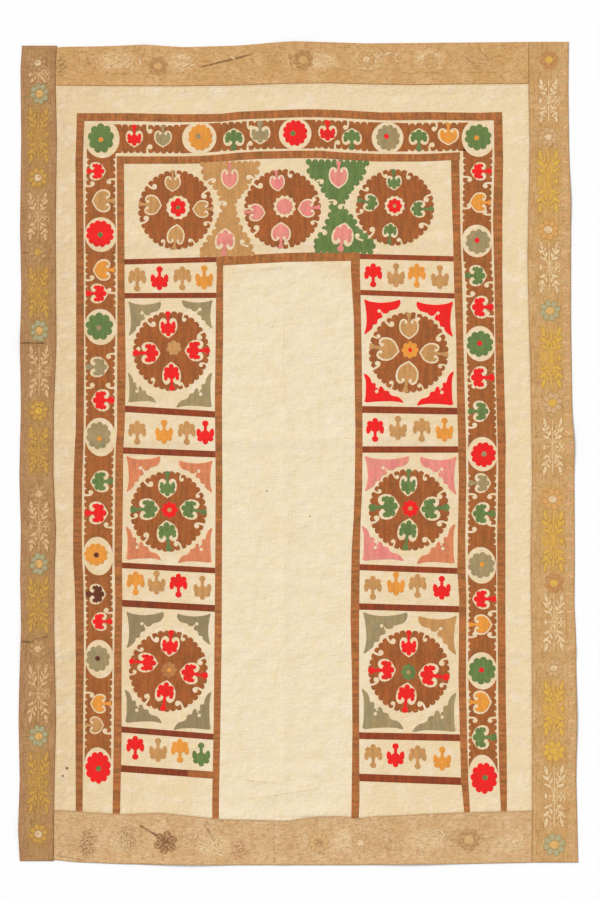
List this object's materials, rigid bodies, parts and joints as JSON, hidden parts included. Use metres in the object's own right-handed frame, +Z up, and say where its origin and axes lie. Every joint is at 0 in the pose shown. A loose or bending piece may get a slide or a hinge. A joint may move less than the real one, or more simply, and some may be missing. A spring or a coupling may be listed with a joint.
{
  "type": "suzani embroidered textile",
  "caption": "Bed-size embroidered cotton hanging or cover, laid flat: cream ground with raised silk bands and round flowers, and four sewn-on border strips.",
  "frame": {"origin": "centre of the cloth's outline on the floor that it lies on", "axes": "+Z up from the floor to the stitched face, +Y along the length towards the end with the closed band, +X to the right seen from above"},
  "size_m": [1.478, 2.174, 0.0064],
  "materials": {
    "ground": "plain-woven cream cotton, matt, with couched silk stitching",
    "side_strip": "worn brown-tan cloth with faint stitched flowers and leaf sprays",
    "end_strip": "worn golden-tan cloth, stained and creased"
  },
  "bodies": {
    "root": {"ground_cloth": "ground", "left_border": "side_strip", "right_border": "side_strip", "top_border": "end_strip", "bottom_border": "end_strip"}
  },
  "joints": []
}
